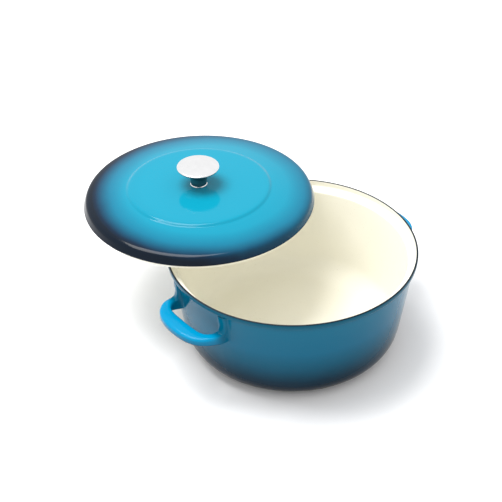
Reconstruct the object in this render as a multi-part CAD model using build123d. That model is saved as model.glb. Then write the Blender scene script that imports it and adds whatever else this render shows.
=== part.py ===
from build123d import *
import math
import os

# Enamelled cast iron dutch oven with its lid carried off to one side.
# Frame: millimetres, +Z up, origin at the centre of the pot's base on the floor,
# one loop handle towards +X and the other towards -X.

# pot
pot_height = 118.0            # floor to the top of the lip
rim_radius = 136.5            # outside of the lip
lip_thickness = 2.5
lip_depth = 6.3               # lip's inner face, from its top down to the ledge
lip_band = 7.0                # lip's outer face, from its top down to the groove
lip_overhang = 3.4            # how far the band stands out from the wall
band_foot_inset = 0.85        # the band's foot, in from the lip's outside
band_foot_rise = 1.13         # and up from the groove
lip_edge_drop = 1.25          # lip top to the start of its outer chamfer
lip_top_inset = 0.6
lip_round = 0.6
lip_top_round = 0.4
band_foot_round = 0.8
ledge_round = 0.8             # between the ledge and the lip's inner face
ledge_width = 8.0
ledge_slope = 28.0            # degrees below level, towards the middle
wall_taper = 7.9              # degrees from upright
wall_thickness = 4.8          # at the foot of the wall
floor_thickness = 5.0
base_corner = 28.0            # outer radius between wall and base
inner_corner = 24.0           # inner radius between wall and floor
ledge_foot_round = 1.5
over_cut = 1.0                # how far a cut runs past the solid

# handles
handle_reach = 28.0           # beyond the lip
handle_span = 86.0
handle_thickness = 10.0
handle_drop = 26.0            # lip top to the top of the grip
handle_corner = 26.0
grip_width = 19.0
leg_width = 10.0
leg_top_drop = 27.5           # lip top to the top of a leg at the wall
leg_foot_drop = 42.0          # lip top to the underside of a leg at the wall
leg_bend = 14.0               # where a leg bends up from the wall and levels out
finger_corner = 18.0
handle_round = 4.2
web_corner = 9.0              # hollow radius between the leg's top and the web
web_stand = 2.6               # how far the web stands out from the wall
web_lap = 0.5                 # how far the web runs up into the lip's band

# lid, with heights counted from the bottom of its edge
lid_side_gap = 3.5            # lid edge to the lip's inner face
lid_thickness = 4.2
edge_height = 1.4
shoulder_height = 9.9
shoulder_inset = 3.6
shoulder_round = 7.0
disc_radius = 80.0
disc_foot_height = 16.4
disc_step = 2.4
disc_step_run = 2.2
crown_rise = 1.0
disc_round = 2.0
disc_foot_round = 3.0         # also below the disc
under_shoulder_round = 4.0
edge_round = 0.6
ring_round = 0.6
knob_seat_radius = 12.0
ring_inset = 3.5              # lid edge to the outside of the seating ring
ring_width = 3.5
ring_drop = 4.6               # below the edge, at the outside of the ring
ring_taper = 1.5

# lid at rest, beside the mouth and just above the lip
carry_clearance = 1.9         # lowest point of the ring to the top of the lip
carry_offset = 132.3          # pot axis to lid axis
carry_bearing = 101.4         # degrees round from +X

# knob, with heights counted from its seat on the lid
knob_radius = 23.7
knob_height = 25.5
knob_foot_radius = 9.6
knob_foot_height = 1.2
knob_waist_radius = 9.0
knob_neck_radius = 11.6
knob_neck_height = 15.0
knob_edge = 2.6               # thickness at the rim of the head
knob_edge_round = 1.0         # how far the rim bulges
knob_dome = 2.0
knob_under_slope = 0.18       # fall over run where the neck leaves the rim
knob_waist_slope = 0.1        # run over fall at the waist

# screw that holds the knob from below
screw_radius = 3.0
screw_grip = 11.0             # length inside the knob
screw_bore_spare = 3.0        # bore left above the screw's tip
screw_fit = 0.05              # radial, screw to knob
screw_hole_gap = 0.4          # radial, screw to lid
head_radius = 6.0
head_height = 3.6
head_round = 1.6
tip_round = 0.5
drive_width = 1.4
drive_length = 6.4
drive_depth = 1.8
washer_radius = 6.6
washer_thickness = 1.4
washer_gap = 0.3              # radial, washer to screw
washer_split = 1.2
washer_round = 0.2


def lathe(points, radii):
    """A ring or disc turned about Z from a closed outline of (radius, height) points."""
    with BuildPart() as turned:
        with BuildSketch(Plane.XZ):
            with BuildLine():
                FilletPolyline(*points, radius=radii, close=True)
            make_face()
        revolve(axis=Axis.Z)
    return turned.part


def down_slope(run, degrees):
    return run * math.tan(math.radians(degrees))


lip_inner_radius = rim_radius - lip_thickness
ledge_top = pot_height - lip_depth
ledge_inner_radius = lip_inner_radius - ledge_width
ledge_bottom = ledge_top - down_slope(ledge_width, ledge_slope)
groove_height = pot_height - lip_band
wall_radius = rim_radius - lip_overhang
base_radius = wall_radius - down_slope(groove_height, wall_taper)
wall_slant = wall_thickness / math.cos(math.radians(wall_taper))
floor_radius = base_radius + down_slope(floor_thickness, wall_taper) - wall_slant
handle_top = pot_height - handle_drop
handle_outer = rim_radius + handle_reach
handle_root = ledge_inner_radius - handle_span / 2
leg_head = pot_height - leg_top_drop
leg_foot = pot_height - leg_foot_drop
wall_at_leg = wall_radius - down_slope(groove_height - leg_head, wall_taper)
web_top = groove_height + web_lap


def pot_body():
    """The outside of the pot, filled in."""
    return lathe(
        [
            (0, 0),
            (base_radius, 0),
            (wall_radius, groove_height),
            (rim_radius - band_foot_inset, groove_height + band_foot_rise),
            (rim_radius, pot_height - lip_edge_drop),
            (rim_radius - lip_top_inset, pot_height),
            (0, pot_height),
        ],
        [0, base_corner, 0, band_foot_round, lip_round, lip_top_round, 0],
    )


def pot_cavity():
    """The space inside the pot, from its floor to above the lip."""
    return lathe(
        [
            (0, floor_thickness),
            (floor_radius, floor_thickness),
            (ledge_inner_radius, ledge_bottom),
            (lip_inner_radius, ledge_top),
            (lip_inner_radius, pot_height + over_cut),
            (0, pot_height + over_cut),
        ],
        [0, inner_corner, ledge_foot_round, ledge_round, 0, 0],
    )


def handle_side():
    """Seen from the side: the leg rising to the grip, and the web above it up to the lip."""
    return [
        (handle_root, leg_foot),
        (wall_at_leg, leg_foot),
        (handle_outer - grip_width, handle_top - handle_thickness),
        (handle_outer, handle_top - handle_thickness),
        (handle_outer, handle_top),
        (handle_outer - grip_width, handle_top),
        (wall_at_leg + web_stand, leg_head),
        (wall_radius + web_stand, web_top),
        (handle_root, web_top),
    ]


def handle():
    """A loop handle towards +X, its legs running into the pot as far as the cavity."""
    finger_span = handle_span - 2 * leg_width
    with BuildPart() as loop:
        with BuildSketch(Plane.XY.offset(leg_foot)):
            Polygon(
                (handle_root, -handle_span / 2),
                (handle_outer, -handle_span / 2),
                (handle_outer, handle_span / 2),
                (handle_root, handle_span / 2),
                align=None,
            )
            Polygon(
                (handle_root - over_cut, -finger_span / 2),
                (handle_outer - grip_width, -finger_span / 2),
                (handle_outer - grip_width, finger_span / 2),
                (handle_root - over_cut, finger_span / 2),
                align=None,
                mode=Mode.SUBTRACT,
            )
        extrude(amount=web_top - leg_foot)
        uprights = loop.edges().filter_by(Axis.Z)
        outer = uprights.sort_by(Axis.X)[-2:]
        inner = uprights.sort_by(Axis.X)[-4:-2]
        fillet(outer, handle_corner)
        fillet(inner, finger_corner)
        with BuildSketch(Plane.XZ.offset(-handle_span)):
            with BuildLine():
                FilletPolyline(
                    *handle_side(),
                    radius=[0, leg_bend, leg_bend, 0, 0, leg_bend, web_corner, 0, 0],
                    close=True,
                )
            make_face()
        extrude(amount=2 * handle_span, mode=Mode.INTERSECT)
        rims = loop.edges().filter_by(Axis.Z, reverse=True).filter_by(Axis.Y, reverse=True)
        rims = rims.filter_by(lambda edge: edge.bounding_box().min.Z < web_top - handle_round)
        fillet(rims, handle_round)
    return loop.part


def pot():
    shape = pot_body()
    for turn in (0, 180):
        shape += handle().rotate(Axis.Z, turn)
    return shape - pot_cavity()


lid_radius = lip_inner_radius - lid_side_gap
disc_height = disc_foot_height + disc_step
crown_height = disc_height + crown_rise
screw_hole_radius = screw_radius + screw_hole_gap
ring_outer_radius = lid_radius - ring_inset
ring_inner_radius = ring_outer_radius - ring_width
ring_bottom = -ring_drop - down_slope(ring_width, ledge_slope)
shoulder_radius = lid_radius - shoulder_inset
under_crown = crown_height - lid_thickness
lid_place = Location(
    (
        carry_offset * math.cos(math.radians(carry_bearing)),
        carry_offset * math.sin(math.radians(carry_bearing)),
        pot_height + carry_clearance - ring_bottom,
    )
)


def lid():
    """The cover, with a raised disc, a rounded shoulder and a seating ring below."""
    under_shoulder = shoulder_height - lid_thickness
    return lathe(
        [
            (screw_hole_radius, crown_height),
            (knob_seat_radius, crown_height),
            (disc_radius, disc_height),
            (disc_radius + disc_step_run, disc_foot_height),
            (shoulder_radius, shoulder_height),
            (lid_radius, edge_height),
            (lid_radius, 0),
            (ring_outer_radius, 0),
            (ring_outer_radius, -ring_drop),
            (ring_inner_radius, ring_bottom),
            (ring_inner_radius - ring_taper, under_shoulder),
            (disc_radius - disc_step_run, disc_foot_height - lid_thickness),
            (disc_radius - 2 * disc_step_run, disc_height - lid_thickness),
            (knob_seat_radius, under_crown),
            (screw_hole_radius, under_crown),
        ],
        [0, 0, disc_round, disc_foot_round, shoulder_round]
        + [edge_round, edge_round, ring_round, ring_round, ring_round]
        + [under_shoulder_round, disc_foot_round, disc_foot_round, 0, 0],
    ).moved(lid_place)


def dome_sag(radius):
    """How far the knob's domed top lies below its middle, at a radius."""
    rim = knob_radius - knob_edge_round
    ball = (rim**2 + knob_dome**2) / (2 * knob_dome)
    return ball - math.sqrt(ball**2 - radius**2)


def knob():
    """A solid mushroom knob with a blind threaded bore, drawn as its minor diameter."""
    bore_radius = screw_radius + screw_fit
    bore_depth = screw_grip + screw_bore_spare
    edge_height_top = knob_height - knob_dome
    edge_height_low = edge_height_top - knob_edge
    top_radius = knob_radius - knob_edge_round
    with BuildPart() as turned:
        with BuildSketch(Plane.XZ):
            with BuildLine():
                ThreePointArc(
                    (0, knob_height),
                    (top_radius / 2, knob_height - dome_sag(top_radius / 2)),
                    (top_radius, edge_height_top),
                )
                ThreePointArc(
                    (top_radius, edge_height_top),
                    (knob_radius, edge_height_top - knob_edge / 2),
                    (top_radius, edge_height_low),
                )
                Spline(
                    (top_radius, edge_height_low),
                    (knob_neck_radius, knob_neck_height),
                    (knob_waist_radius, knob_foot_height),
                    tangents=[(-1, -knob_under_slope), (-knob_waist_slope, -1)],
                )
                Polyline(
                    (knob_waist_radius, knob_foot_height),
                    (knob_foot_radius, knob_foot_height / 2),
                    (knob_foot_radius, 0),
                    (bore_radius, 0),
                    (bore_radius, bore_depth),
                    (0, bore_depth),
                    (0, knob_height),
                )
            make_face()
        revolve(axis=Axis.Z)
    return turned.part.moved(lid_place * Location((0, 0, crown_height)))


def knob_screw():
    """A pan head screw with a cross recess, its head below the washer."""
    head_top = under_crown - washer_thickness
    tip = crown_height + screw_grip
    shape = lathe(
        [
            (0, head_top - head_height),
            (head_radius, head_top - head_height),
            (head_radius, head_top),
            (screw_radius, head_top),
            (screw_radius, tip),
            (0, tip),
        ],
        [0, head_round, 0, 0, tip_round, 0],
    )
    for size in ((drive_length, drive_width), (drive_width, drive_length)):
        recess = Box(*size, 2 * drive_depth)
        shape -= recess.moved(Location((0, 0, head_top - head_height)))
    return shape.moved(lid_place)


def spring_washer():
    """A split ring between the screw's head and the lid."""
    bore = screw_radius + washer_gap
    shape = lathe(
        [
            (bore, under_crown - washer_thickness),
            (washer_radius, under_crown - washer_thickness),
            (washer_radius, under_crown),
            (bore, under_crown),
        ],
        [0, washer_round, washer_round, 0],
    )
    split = Box(2 * washer_radius, washer_split, 4 * washer_thickness)
    shape -= split.moved(Location((washer_radius, 0, under_crown)))
    return shape.moved(lid_place)


os.makedirs("parts", exist_ok=True)
for name, make in (
    ("pot", pot),
    ("lid", lid),
    ("knob", knob),
    ("knob_screw", knob_screw),
    ("spring_washer", spring_washer),
):
    export_step(make(), f"parts/{name}.step")

seat_height = ledge_top - down_slope(ring_inset + lid_side_gap, ledge_slope) + ring_drop
print("lid edge at rest", lid_place.position)
print("lid edge when seated", round(seat_height, 3))
print("inside radius at the floor", round(floor_radius, 2))
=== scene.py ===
# Enamelled cast iron dutch oven, its lid carried off beside the mouth.
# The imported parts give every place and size; this adds the castings' real form,
# the enamel and the steel.

import math

import bmesh
import bpy
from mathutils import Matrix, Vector


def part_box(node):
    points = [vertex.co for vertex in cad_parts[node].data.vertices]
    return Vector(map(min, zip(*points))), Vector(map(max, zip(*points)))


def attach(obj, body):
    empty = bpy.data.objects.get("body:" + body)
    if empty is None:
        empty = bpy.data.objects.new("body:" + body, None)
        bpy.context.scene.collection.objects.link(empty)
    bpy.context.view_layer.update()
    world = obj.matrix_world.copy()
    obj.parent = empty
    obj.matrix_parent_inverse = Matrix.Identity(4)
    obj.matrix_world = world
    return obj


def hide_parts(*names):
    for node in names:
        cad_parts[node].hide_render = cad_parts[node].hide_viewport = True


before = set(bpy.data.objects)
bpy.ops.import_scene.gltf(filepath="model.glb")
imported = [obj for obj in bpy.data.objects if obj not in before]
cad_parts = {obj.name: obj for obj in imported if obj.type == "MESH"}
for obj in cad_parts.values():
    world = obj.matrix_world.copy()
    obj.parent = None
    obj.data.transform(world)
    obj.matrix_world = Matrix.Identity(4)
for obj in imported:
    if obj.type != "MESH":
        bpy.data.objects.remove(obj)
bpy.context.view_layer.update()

mm = 0.001


class Link:
    # one socket's value, so that sums on it read as sums
    def __init__(self, shader, socket):
        self.shader = shader
        self.socket = socket

    def sum(self, operation, a, b):
        return self.shader.node("ShaderNodeMath", {"operation": operation}, {0: a, 1: b})

    def __add__(self, other):
        return self.sum("ADD", self, other)

    def __radd__(self, other):
        return self.sum("ADD", other, self)

    def __sub__(self, other):
        return self.sum("SUBTRACT", self, other)

    def __rsub__(self, other):
        return self.sum("SUBTRACT", other, self)

    def __mul__(self, other):
        return self.sum("MULTIPLY", self, other)

    def __truediv__(self, other):
        return self.sum("DIVIDE", self, other)

    def __pow__(self, other):
        return self.sum("POWER", self, other)


class Shader:
    # a new material; every node in it is made by node()
    def __init__(self, name):
        self.material = bpy.data.materials.new(name)
        self.material.use_nodes = True
        self.tree = self.material.node_tree
        self.surface = self.tree.nodes["Principled BSDF"]

    def node(self, kind, settings, inputs, output=0):
        made = self.tree.nodes.new(kind)
        for name, value in settings.items():
            if name == "stops":
                ramp = made.color_ramp
                while len(ramp.elements) < len(value):
                    ramp.elements.new(1)
                for stop, (place, colour) in zip(ramp.elements, value):
                    stop.position = place
                    stop.color = colour
            else:
                setattr(made, name, value)
        for name, value in inputs.items():
            self.join(value, made.inputs[name])
        return Link(self, made.outputs[output])

    def join(self, value, socket):
        if isinstance(value, Link):
            self.tree.links.new(value.socket, socket)
        else:
            socket.default_value = value

    def finish(self, sockets):
        for name, value in sockets.items():
            self.join(value, self.surface.inputs[name])
        return self.material

    def spot(self, middle=(0, 0, 0)):
        # object coordinates in metres, counted from a point
        place = self.node("ShaderNodeTexCoord", {}, {}, "Object")
        return self.node("ShaderNodeVectorMath", {"operation": "SUBTRACT"}, {0: place, 1: middle})

    def facing(self):
        return self.axes(self.node("ShaderNodeTexCoord", {}, {}, "Normal"))

    def larger(self, a, b):
        return self.node("ShaderNodeMath", {"operation": "MAXIMUM"}, {0: a, 1: b})

    def axes(self, vector):
        split = self.node("ShaderNodeSeparateXYZ", {}, {"Vector": vector})
        outputs = split.socket.node.outputs
        return [Link(self, outputs[n]) for n in range(3)]

    def ease(self, value, start, end):
        # 0 below start, 1 above end, smooth between
        return self.node(
            "ShaderNodeMapRange",
            {"interpolation_type": "SMOOTHSTEP", "clamp": True},
            {"Value": value, "From Min": start, "From Max": end},
        )

    def mix(self, share, a, b):
        return self.node("ShaderNodeMix", {"data_type": "RGBA"}, {0: share, 6: a, 7: b}, 2)

    def noise(self, vector, scale, detail=2.0, roughness=0.5):
        inputs = {"Vector": vector, "Scale": scale, "Detail": detail, "Roughness": roughness}
        return self.node("ShaderNodeTexNoise", {}, inputs)

    def bump(self, height, strength, distance, normal=None):
        inputs = {"Height": height, "Strength": strength, "Distance": distance}
        if normal:
            inputs["Normal"] = normal
        return self.node("ShaderNodeBump", {}, inputs)


def paint(red, green, blue):
    # a colour as a screen shows it, 0 to 255, in the light values a shader takes
    def light(value):
        share = value / 255
        return share / 12.92 if share <= 0.04045 else ((share + 0.055) / 1.055) ** 2.4

    return (light(red), light(green), light(blue), 1)


def leaveAll():
    if bpy.context.object and bpy.context.object.mode != "OBJECT":
        bpy.ops.object.mode_set(mode="OBJECT")
    bpy.ops.object.select_all(action="DESELECT")


def drawOutline(name, points):
    # a chain of points (radius, height), drawn from a primitive shrunk to its first point
    leaveAll()
    radius, height = points[0]
    bpy.ops.mesh.primitive_plane_add(size=mm, location=(radius, 0, height))
    bpy.ops.object.transform_apply(location=True)
    piece = bpy.context.object
    piece.name = name
    bpy.ops.object.mode_set(mode="EDIT")
    bpy.ops.mesh.select_mode(type="VERT")
    bpy.ops.mesh.select_all(action="SELECT")
    bpy.ops.mesh.merge(type="CENTER")
    for (r0, z0), (r1, z1) in zip(points, points[1:]):
        bpy.ops.mesh.extrude_vertices_move(TRANSFORM_OT_translate={"value": (r1 - r0, 0, z1 - z0)})
    return piece


def pick(piece, kind, test):
    # selects vertices or faces in edit mode by place: test takes the middle
    bpy.ops.mesh.select_all(action="DESELECT")
    bpy.ops.mesh.select_mode(type=kind)
    mesh = bmesh.from_edit_mesh(piece.data)
    if kind == "VERT":
        for vert in mesh.verts:
            vert.select = test(vert.co)
    else:
        for face in mesh.faces:
            face.select = test(face.calc_center_median())
    mesh.select_flush_mode()
    bmesh.update_edit_mesh(piece.data)


def pickedMiddle(piece):
    mesh = bmesh.from_edit_mesh(piece.data)
    low = Vector([min(v.co[axis] for v in mesh.verts if v.select) for axis in range(3)])
    high = Vector([max(v.co[axis] for v in mesh.verts if v.select) for axis in range(3)])
    return (low + high) / 2


def bearingOf(co):
    return math.atan2(co.y, co.x)


def spinPicked(steps, degrees):
    # spin goes clockwise seen along its axis, so a downward axis gives the usual sense
    bpy.ops.mesh.spin(steps=steps, angle=math.radians(degrees), center=(0, 0, 0), axis=(0, 0, -1))


def turnPicked(degrees, middle):
    bpy.ops.transform.rotate(value=-math.radians(degrees), orient_axis="Z", center_override=middle)


def applyModifier(piece, kind, **settings):
    leaveAll()
    piece.select_set(True)
    bpy.context.view_layer.objects.active = piece
    modifier = piece.modifiers.new(kind.title(), kind)
    for name, value in settings.items():
        setattr(modifier, name, value)
    bpy.ops.object.modifier_apply(modifier=modifier.name)


def closeUp(piece):
    # doubles merged and every face turned outward
    leaveAll()
    piece.select_set(True)
    bpy.context.view_layer.objects.active = piece
    bpy.ops.object.mode_set(mode="EDIT")
    bpy.ops.mesh.select_all(action="SELECT")
    bpy.ops.mesh.remove_doubles(threshold=0.01 * mm)
    bpy.ops.mesh.normals_make_consistent(inside=False)
    bpy.ops.object.mode_set(mode="OBJECT")


def arc(middle, radius, start, end, steps):
    turns = [math.radians(start + (end - start) * n / steps) for n in range(steps + 1)]
    return [(middle[0] + radius * math.cos(a), middle[1] + radius * math.sin(a)) for a in turns]


enamel = {
    "skin": 260,  # scale of the fine orange peel
    "skinDepth": 0.25 * mm,
    "handling": 38,  # scale of the faint waves and smears
    "handlingDepth": 0.6 * mm,
    "creamCloud": 9,
    "cream": (240, 237, 222),
    "creamPale": (244, 242, 231),
}


def creamEnamel(shader, spot):
    cloud = shader.noise(spot, enamel["creamCloud"], 4, 0.6)
    return shader.mix(cloud, paint(*enamel["cream"]), paint(*enamel["creamPale"]))


def enamelSkin(shader, spot, skinStrength, handlingStrength):
    skin = shader.noise(spot, enamel["skin"], 2, 0.5)
    handling = shader.noise(spot, enamel["handling"], 4, 0.65)
    normal = shader.bump(skin, skinStrength, enamel["skinDepth"])
    return handling, shader.bump(handling, handlingStrength, enamel["handlingDepth"], normal)


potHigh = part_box("pot")[1]

pot = {
    "lipWidth": 2.5 * mm,
    "ledgeWidth": 8 * mm,
    "ledgeTop": 6.3 * mm,  # below the lip's top
    "ledgeFall": 4.25 * mm,
    "groove": 7 * mm,  # below the lip's top
    "overhang": 3.4 * mm,
    "taper": 7.9,  # degrees from upright
    "innerTaper": 6.93,
    "floor": 5 * mm,
    "floorRadius": 113.55 * mm,
    "wall": 4.8 * mm,
    "baseCorner": 28.6 * mm,
    "innerCorner": 24.5 * mm,
    "legTop": 27.5 * mm,  # below the lip's top, at the wall
    "legHeight": 14.5 * mm,
    "webStand": 2.6 * mm,  # out from the wall
    "webFoot": 4.2 * mm,  # further out still, where it meets the leg
    "legBearing": 16.6,  # degrees round from +X
    "legShare": 4.4,  # degrees
    "rootShare": 1.1,  # degrees of flare each side of the leg
    # the handle from wall to middle: in from its reach, to the side, below the lip's top,
    # turn in degrees, width and height of the section
    "sections": [
        (31 * mm, 38 * mm, 33.2 * mm, 4, 10.2 * mm, 13 * mm),
        (25 * mm, 37.6 * mm, 31.8 * mm, -6, 10.8 * mm, 11.4 * mm),
        (18 * mm, 34.4 * mm, 31.1 * mm, -30, 12.6 * mm, 10.2 * mm),
        (12 * mm, 26 * mm, 31 * mm, -62, 16 * mm, 10 * mm),
        (9.7 * mm, 13 * mm, 31 * mm, -82, 18.4 * mm, 10 * mm),
        (9.2 * mm, 0, 31 * mm, -90, 19 * mm, 10 * mm),
    ],
}


def potOutline(rim, top):
    slope = math.tan(math.radians(pot["taper"]))
    inSlope = math.tan(math.radians(pot["innerTaper"]))
    groove = top - pot["groove"]
    wall = rim - pot["overhang"]
    base = wall - groove * slope

    def outside(height):
        return base + height * slope

    def inside(height):
        return pot["floorRadius"] + (height - pot["floor"]) * inSlope

    corner = pot["baseCorner"]
    flat = base - corner * math.tan(math.radians(45 - pot["taper"] / 2))
    inCorner = pot["innerCorner"]
    inFlat = pot["floorRadius"] - inCorner * math.tan(math.radians(45 - pot["innerTaper"] / 2))
    legTop = top - pot["legTop"]
    legLow = legTop - pot["legHeight"]
    lip = rim - pot["lipWidth"]
    ledge = top - pot["ledgeTop"]
    ledgeIn = lip - pot["ledgeWidth"]
    ledgeLow = ledge - pot["ledgeFall"]
    heights = [42 * mm, 58 * mm, legLow - 8 * mm, legLow - 2.2 * mm, legLow]
    heights += [(legLow + legTop) / 2, legTop, legTop + 6 * mm, legTop + 13 * mm, groove - 0.6 * mm]
    points = [(0, 0), (flat * 0.5, 0), (flat * 0.92, 0)]
    points += arc((flat, corner), corner, -90, -pot["taper"], 5)
    points += [(outside(height), height) for height in heights]
    points += [
        (wall + 0.1 * mm, groove),
        (rim - 1.5 * mm, groove + 0.5 * mm),
        (rim - 0.3 * mm, groove + 1.6 * mm),
        (rim, groove + 3.2 * mm),
        (rim, top - 1.3 * mm),
        (rim - 0.4 * mm, top - 0.2 * mm),
        (rim - 1.2 * mm, top),
        (lip + 0.4 * mm, top - 0.1 * mm),
        (lip, top - 0.7 * mm),
        (lip, ledge + 1.2 * mm),
        (lip - 0.25 * mm, ledge + 0.1 * mm),
        (lip - 1.3 * mm, ledge - 0.7 * mm),
        (ledgeIn + 1.2 * mm, ledgeLow + 0.6 * mm),
        (ledgeIn + 0.1 * mm, ledgeLow - 0.2 * mm),
        (inside(ledgeLow - 1.6 * mm), ledgeLow - 1.6 * mm),
    ]
    heights = [ledgeLow - 8 * mm, 80 * mm, 58 * mm, 42 * mm]
    points += [(inside(height), height) for height in heights]
    points += arc((inFlat, pot["floor"] + inCorner), inCorner, -pot["innerTaper"], -90, 5)
    points += [(inFlat * 0.92, pot["floor"]), (inFlat * 0.5, pot["floor"]), (0, pot["floor"])]
    return points


def makePot():
    rim = potHigh.y
    top = potHigh.z
    reach = potHigh.x
    piece = drawOutline("potCasting", potOutline(rim, top))

    # a quarter of the body, in narrow steps where a handle's leg grows out of the wall
    start = pot["legBearing"] - pot["legShare"] / 2 - pot["rootShare"]
    done = 0
    for share, steps in (
        (start, 3),
        (pot["rootShare"], 1),
        (pot["legShare"], 2),
        (pot["rootShare"], 1),
        (90 - start - pot["legShare"] - 2 * pot["rootShare"], 18),
    ):
        last = math.radians(done)
        pick(piece, "VERT", lambda co: co.xy.length < mm or abs(bearingOf(co) - last) < 1e-4)
        spinPicked(steps, share)
        done += share
    bpy.ops.mesh.select_all(action="SELECT")
    bpy.ops.mesh.remove_doubles(threshold=0.01 * mm)

    # the leg's root, with the web above it up to the lip's band
    legTop = top - pot["legTop"]
    legLow = legTop - pot["legHeight"]
    groove = top - pot["groove"]
    low = math.radians(pot["legBearing"] - pot["legShare"] / 2 - 0.05)
    high = math.radians(pot["legBearing"] + pot["legShare"] / 2 + 0.05)
    slope = math.tan(math.radians(pot["taper"]))

    def inRoot(co, bottom, ceiling, stand):
        # stand is how far out of the wall, at its own height, the skin of the root lies at least
        across = low < bearingOf(co) < high
        wall = rim - pot["overhang"] - (groove - co.z) * slope
        return across and bottom < co.z < ceiling and co.xy.length > wall + stand

    bearing = math.radians(pot["legBearing"])
    out = Vector((math.cos(bearing), math.sin(bearing), 0))
    pick(piece, "FACE", lambda co: inRoot(co, legLow, groove - 0.3 * mm, -2 * mm))
    bpy.ops.mesh.extrude_region_move(TRANSFORM_OT_translate={"value": out * pot["webStand"]})
    skin = pot["webStand"] / 2
    pick(piece, "VERT", lambda co: inRoot(co, legTop - mm, legTop + mm, skin))
    bpy.ops.transform.translate(value=out * pot["webFoot"])
    pick(piece, "VERT", lambda co: inRoot(co, legTop + mm, groove - mm, skin))
    bpy.ops.transform.translate(value=out * pot["webFoot"] / 4)

    # the leg and half the grip, drawn out section by section to the middle plane
    turn, height, flat = pot["legBearing"], pot["legHeight"], 0
    width = 2 * rim * math.sin((high - low) / 2)
    pick(piece, "FACE", lambda co: inRoot(co, legLow, legTop, skin))
    for inset, side, drop, newTurn, newWidth, newHeight in pot["sections"]:
        place = Vector((reach - inset, side, top - drop))
        step = place - pickedMiddle(piece)
        bpy.ops.mesh.extrude_region_move(TRANSFORM_OT_translate={"value": step})
        turnPicked(-turn, place)
        size = (flat, newWidth / width, newHeight / height)
        bpy.ops.transform.resize(value=size, center_override=place)
        turnPicked(newTurn, place)
        turn, width, height, flat = newTurn, newWidth, newHeight, 1
    bpy.ops.transform.resize(value=(1, 0, 1), center_override=(reach, 0, top))
    bpy.ops.mesh.delete(type="FACE")

    applyModifier(piece, "MIRROR", use_axis=(True, True, False), merge_threshold=0.02 * mm)
    closeUp(piece)
    applyModifier(piece, "SUBSURF", levels=2, render_levels=2)
    bpy.ops.object.shade_smooth()
    return piece


def potEnamel():
    # blue enamel outside, darker towards the base; the grips lighter on top and darker below,
    # painted light and shade; cream inside; dark lip
    shader = Shader("potEnamel")
    spot = shader.spot()
    x, y, z = shader.axes(spot)
    facing = shader.facing()
    radius = (x * x + y * y) ** 0.5
    rim, top = potHigh.y, potHigh.z
    lip = rim - pot["lipWidth"]

    inward = (facing[0] * x + facing[1] * y) / radius * -1
    inside = shader.larger(shader.ease(inward, 0.02, 0.04), shader.ease(facing[2], 0.5, 0.6))
    inside *= 1 - shader.ease(radius, lip + 0.15 * mm, lip + 0.3 * mm)
    inside *= shader.ease(z, mm, 2 * mm)
    ledge = top - pot["ledgeTop"] - pot["ledgeFall"]
    innerSlope = math.tan(math.radians(pot["innerTaper"]))
    middleWall = pot["floorRadius"] + pot["wall"] / 2 + (z - pot["floor"]) * innerSlope
    inside *= shader.larger(
        shader.ease(z, ledge - 3 * mm, ledge - 2 * mm),
        1 - shader.ease(radius - middleWall, 0, 0.3 * mm),
    )
    lipTop = shader.ease(z, top - 0.75 * mm, top - 0.45 * mm)

    cloud = shader.noise(spot, 14, 3, 0.6)
    height = z + (cloud - 0.5) * 9 * mm
    wall = shader.node("ShaderNodeValToRGB", {"stops": [
        (0.0, paint(6, 12, 20)),
        (0.1, paint(5, 16, 28)),
        (0.24, paint(0, 38, 56)),
        (0.42, paint(0, 72, 96)),
        (0.62, paint(0, 89, 118)),
        (0.9, paint(0, 93, 121)),
        (1.0, paint(0, 76, 98)),
    ]}, {"Fac": height / top})
    # the grips run from painted shade where they face down to painted light where they face up
    grip = shader.mix(shader.ease(facing[2], -0.7, 0.5), paint(2, 34, 54), paint(0, 134, 178))
    past = shader.ease(radius + (cloud - 0.5) * 8 * mm, rim + mm, rim + 12 * mm)
    blue = shader.mix(past, wall, grip)
    cream = creamEnamel(shader, spot)
    fleck = shader.ease(shader.noise(spot, 900, 1, 0.4), 0.72, 0.8)
    cream = shader.mix(fleck * 0.35, cream, paint(176, 160, 124))
    colour = shader.mix(inside, blue, cream)
    colour = shader.mix(lipTop, colour, paint(20, 32, 42))

    handling, normal = enamelSkin(shader, spot, 0.12, 0.1)
    worn = 1 - shader.ease(z, 0.4 * mm, 1.2 * mm)
    roughness = 0.08 + handling * 0.07 + lipTop * 0.22 + worn * 0.3
    return shader.finish({
        "Base Color": colour,
        "Roughness": roughness,
        "Normal": normal,
        "IOR": 1.22,
    })


lidLow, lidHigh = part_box("lid")

lid = {
    "crown": 19.8 * mm,  # above the bottom of the edge
    "crownRadius": 12 * mm,
    "hole": 3.4 * mm,
    "thickness": 4.2 * mm,
    "disc": 80 * mm,
    "discHeight": 18.8 * mm,
    "discFoot": 16.4 * mm,
    "shoulder": 9.9 * mm,
    "shoulderInset": 3.6 * mm,
    "ringOut": 127 * mm,
    "ringIn": 123.5 * mm,
    "ringDrop": 4.6 * mm,
    "ringTip": 6.46 * mm,
    # where the fade's middle is shifted to, to paint shade on one side of the lid
    "shadeShiftX": 8 * mm,
    "shadeShiftY": -5.5 * mm,
}
lidMiddle = (lidLow + lidHigh) / 2
lidRadius = (lidHigh.x - lidLow.x) / 2
lidEdge = lidHigh.z - lid["crown"]


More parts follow.
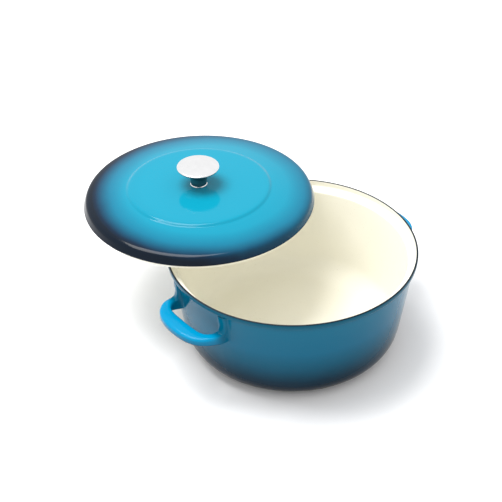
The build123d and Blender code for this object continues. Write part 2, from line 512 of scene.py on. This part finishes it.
def lidOutline(radius):
    # (radius, height above the bottom of the edge), from the hole over the top and back below
    disc, discHeight, foot = lid["disc"], lid["discHeight"], lid["discFoot"]
    shoulder, shoulderHeight = radius - lid["shoulderInset"], lid["shoulder"]
    crown, hole, below = lid["crown"], lid["hole"], lid["thickness"]

    def slope(r):
        # the broad ring between the disc's foot and the shoulder
        return foot + (shoulderHeight - foot) * (r - disc - 2.2 * mm) / (shoulder - disc - 2.2 * mm)

    points = [(hole, crown - 0.3 * mm), (hole + 0.3 * mm, crown), (lid["crownRadius"], crown)]
    points += [(40 * mm, crown - 0.42 * mm), (62 * mm, crown - 0.74 * mm)]
    points += [
        (disc - 6 * mm, discHeight + 0.1 * mm),
        (disc - 2.6 * mm, discHeight - 0.05 * mm),
        (disc - 0.6 * mm, discHeight - 0.45 * mm),
        (disc + 0.9 * mm, discHeight - 1.6 * mm),
        (disc + 1.7 * mm, foot + 0.25 * mm),
        (disc + 2.5 * mm, foot - 0.1 * mm),
        (disc + 4.2 * mm, slope(disc + 4.2 * mm)),
    ]
    radii = [disc + 9 * mm, disc + 24 * mm, shoulder - 14 * mm, shoulder - 6.5 * mm]
    points += [(r, slope(r)) for r in radii]
    points += [
        (shoulder - 3.2 * mm, shoulderHeight + 0.35 * mm),
        (shoulder - 0.9 * mm, shoulderHeight - 0.5 * mm),
        (shoulder + 0.7 * mm, shoulderHeight - 2.1 * mm),
        (shoulder + 1.7 * mm, shoulderHeight - 4.4 * mm),
        (radius - 0.8 * mm, 2.6 * mm),
        (radius - 0.1 * mm, 1.1 * mm),
        (radius, 0.5 * mm),
        (radius - 0.3 * mm, 0),
        (radius - 1.4 * mm, 0),
        (lid["ringOut"] + 0.4 * mm, 0),
        (lid["ringOut"], -0.5 * mm),
        (lid["ringOut"], -lid["ringDrop"] + 0.6 * mm),
        (lid["ringOut"] - 0.5 * mm, -lid["ringDrop"] - 0.3 * mm),
        (lid["ringIn"] + 0.8 * mm, -lid["ringTip"] + 0.1 * mm),
        (lid["ringIn"], -lid["ringTip"] + 0.5 * mm),
        (lid["ringIn"] - 0.4 * mm, -3 * mm),
        (lid["ringIn"] - 1.1 * mm, 2.6 * mm),
        (lid["ringIn"] - 2.6 * mm, shoulderHeight - below - 0.2 * mm),
        (lid["ringIn"] - 6 * mm, shoulderHeight - below + 0.9 * mm),
    ]
    points += [(r, slope(r) - below) for r in (112 * mm, 98 * mm, disc + 3 * mm)]
    points += [
        (disc - 2 * mm, foot - below),
        (disc - 4.2 * mm, discHeight - below),
        (62 * mm, crown - 0.74 * mm - below),
        (40 * mm, crown - 0.42 * mm - below),
        (lid["crownRadius"], crown - below),
        (hole + 0.3 * mm, crown - below),
        (hole, crown - below + 0.3 * mm),
    ]
    return points


def makeLid():
    outline = lidOutline(lidRadius)
    piece = drawOutline("lidCasting", outline + outline[:1])
    bpy.ops.mesh.select_all(action="SELECT")
    spinPicked(96, 360)
    bpy.ops.mesh.select_all(action="SELECT")
    bpy.ops.transform.translate(value=(lidMiddle.x, lidMiddle.y, lidEdge))
    closeUp(piece)
    applyModifier(piece, "SUBSURF", levels=2, render_levels=2)
    bpy.ops.object.shade_smooth()
    return piece


def lidEnamel():
    # cyan enamel on top, running to navy over the shoulder; cream below; dark edge
    shader = Shader("lidEnamel")
    spot = shader.spot((lidMiddle.x, lidMiddle.y, lidEdge))
    x, y, z = shader.axes(spot)
    facing = shader.facing()
    reach = (x * x + y * y) ** 0.5
    cloud = shader.noise(spot, 16, 3, 0.6)
    # the fade's middle is shifted a little to one side, so that one side of the lid is darker:
    # painted shade
    shadeShiftedReach = ((x - lid["shadeShiftX"]) ** 2 + (y - lid["shadeShiftY"]) ** 2) ** 0.5
    share = (shadeShiftedReach + (cloud - 0.5) * 7 * mm) / lidRadius
    blue = shader.node("ShaderNodeValToRGB", {"stops": [
        (0.0, paint(12, 138, 164)),
        (0.56, paint(12, 136, 162)),
        (0.7, paint(13, 132, 158)),
        (0.84, paint(9, 106, 134)),
        (0.93, paint(6, 64, 90)),
        (0.97, paint(4, 32, 54)),
        (1.0, paint(4, 18, 32)),
    ]}, {"Fac": share})
    within = 1 - shader.ease(reach, lidRadius - 4 * mm, lidRadius - 3.6 * mm)
    under = (1 - shader.ease(facing[2], -0.2, -0.1)) * within
    ring = 1 - shader.ease(z, -0.5 * mm, -0.2 * mm)
    below = shader.larger(shader.larger(under, ring), (1 - shader.ease(z, 5 * mm, 6 * mm)) * within)
    colour = shader.mix(below, blue, creamEnamel(shader, spot))
    lipEdge = (1 - below) * (1 - shader.ease(z, 0.7 * mm, 1.2 * mm))
    colour = shader.mix(lipEdge, colour, paint(18, 26, 36))
    handling, normal = enamelSkin(shader, spot, 0.1, 0.08)
    return shader.finish({
        "Base Color": colour,
        "Roughness": 0.07 + handling * 0.07 + lipEdge * 0.2,
        "Normal": normal,
        "IOR": 1.27,
    })


def steel(name, middle, colour, polish, marks, underShade):
    # turned steel: fine rings about the axis, faint smears of handling, and painted shade that
    # darkens it where it faces down
    shader = Shader(name)
    spot = shader.spot(middle)
    x, y, z = shader.axes(spot)
    radius = (x * x + y * y) ** 0.5
    rings = shader.node("ShaderNodeCombineXYZ", {}, {"X": radius * 5200, "Z": z * 5200})
    turned = shader.noise(rings, 1, 2, 0.6)
    smear = shader.noise(spot, 120, 4, 0.6)
    base = shader.mix(smear, paint(*colour), paint(*[min(255, value + 14) for value in colour]))
    # painted shade: each part's colour darkened where it faces down
    shadedSteel = paint(*[value * underShade for value in colour])
    base = shader.mix(shader.ease(shader.facing()[2], -0.3, 0.5), shadedSteel, base)
    return shader.finish({
        "Base Color": base,
        "Metallic": 1.0,
        "Roughness": polish + smear * 0.07 + turned * marks,
        "Normal": shader.bump(turned, marks, 0.05 * mm),
    })


def giveMaterial(piece, material):
    piece.data.materials.clear()
    piece.data.materials.append(material)


potPiece = makePot()
giveMaterial(potPiece, potEnamel())
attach(potPiece, "pot")
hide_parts("pot")
print("pot done", len(potPiece.data.polygons), "faces")

lidPiece = makeLid()
giveMaterial(lidPiece, lidEnamel())
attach(lidPiece, "lid")
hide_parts("lid")
print("lid done", len(lidPiece.data.polygons), "faces")

# the last number is the share of each part's colour left in the painted shade below it
for node, name, colour, polish, marks, underShade in (
    ("knob", "knobSteel", (236, 236, 237), 0.07, 0.05, 0.45),
    ("knob_screw", "screwSteel", (176, 178, 182), 0.22, 0.2, 0.8),
    ("spring_washer", "washerSteel", (160, 162, 168), 0.28, 0.25, 0.8),
):
    low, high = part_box(node)
    middle = tuple((low + high) / 2)
    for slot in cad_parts[node].material_slots:
        slot.material = steel(name, middle, colour, polish, marks, underShade)
print("steel done")

studio = {
    "bearing": 49,  # the way the camera looks, round from +X
    "elevation": 35.9,
    "distance": 1245.8 * mm,  # from the middle of the mouth, along the view
    "right": 8 * mm,  # where the middle of the mouth lies in the view
    "up": 5.7 * mm,
    "lens": 82.5,
    "shift": -0.0675,
    "floorColour": (0.95, 0.95, 0.955, 1),
    "floorSize": 8,
    "worldStrength": 1.0,
    "key": 22,
    "keySize": 0.9,
    "keyDistance": 1.5,
    "keyPlace": (0.12, -0.3, 0.94),  # ahead, to the right and up
}


def makeStudio():
    bearing, tilt = math.radians(studio["bearing"]), math.radians(studio["elevation"])
    level = Vector((math.cos(bearing), math.sin(bearing), 0))
    right = Vector((math.sin(bearing), -math.cos(bearing), 0))
    ahead = level * math.cos(tilt) - Vector((0, 0, math.sin(tilt)))
    upward = right.cross(ahead)
    mouth = Vector((0, 0, potHigh.z))
    leaveAll()
    stand = mouth - ahead * studio["distance"]
    stand -= right * studio["right"] + upward * studio["up"]
    bpy.ops.object.camera_add(location=stand)
    camera = bpy.context.object
    camera.name = "camera"
    camera.rotation_euler = ahead.to_track_quat("-Z", "Y").to_euler()
    camera.data.lens = studio["lens"]
    camera.data.shift_x = studio["shift"]
    bpy.context.scene.camera = camera

    bpy.ops.mesh.primitive_plane_add(size=studio["floorSize"], location=(0, 0, 0))
    floor = bpy.context.object
    floor.name = "floor"
    shader = Shader("floorPaper")
    grain = shader.noise(shader.spot(), 60, 2, 0.5)
    white = studio["floorColour"]
    tone = shader.mix(grain, white, (white[0] * 1.02, white[1] * 1.02, white[2] * 1.02, 1))
    giveMaterial(floor, shader.finish({"Base Color": tone, "Roughness": 0.9}))

    world = bpy.data.worlds.new("studio")
    world.use_nodes = True
    bpy.context.scene.world = world
    background = world.node_tree.nodes["Background"]
    background.inputs["Color"].default_value = (1, 1, 1, 1)
    background.inputs["Strength"].default_value = studio["worldStrength"]

    forward, across, high = studio["keyPlace"]
    away = (level * forward + right * across + Vector((0, 0, high))).normalized()
    leaveAll()
    bpy.ops.object.light_add(type="AREA", location=away * studio["keyDistance"])
    key = bpy.context.object
    key.name = "key"
    key.data.size = studio["keySize"]
    key.data.energy = studio["key"]
    key.rotation_euler = (-away).to_track_quat("-Z", "Y").to_euler()
    bpy.context.scene.view_settings.view_transform = "Standard"


makeStudio()
print("studio done")
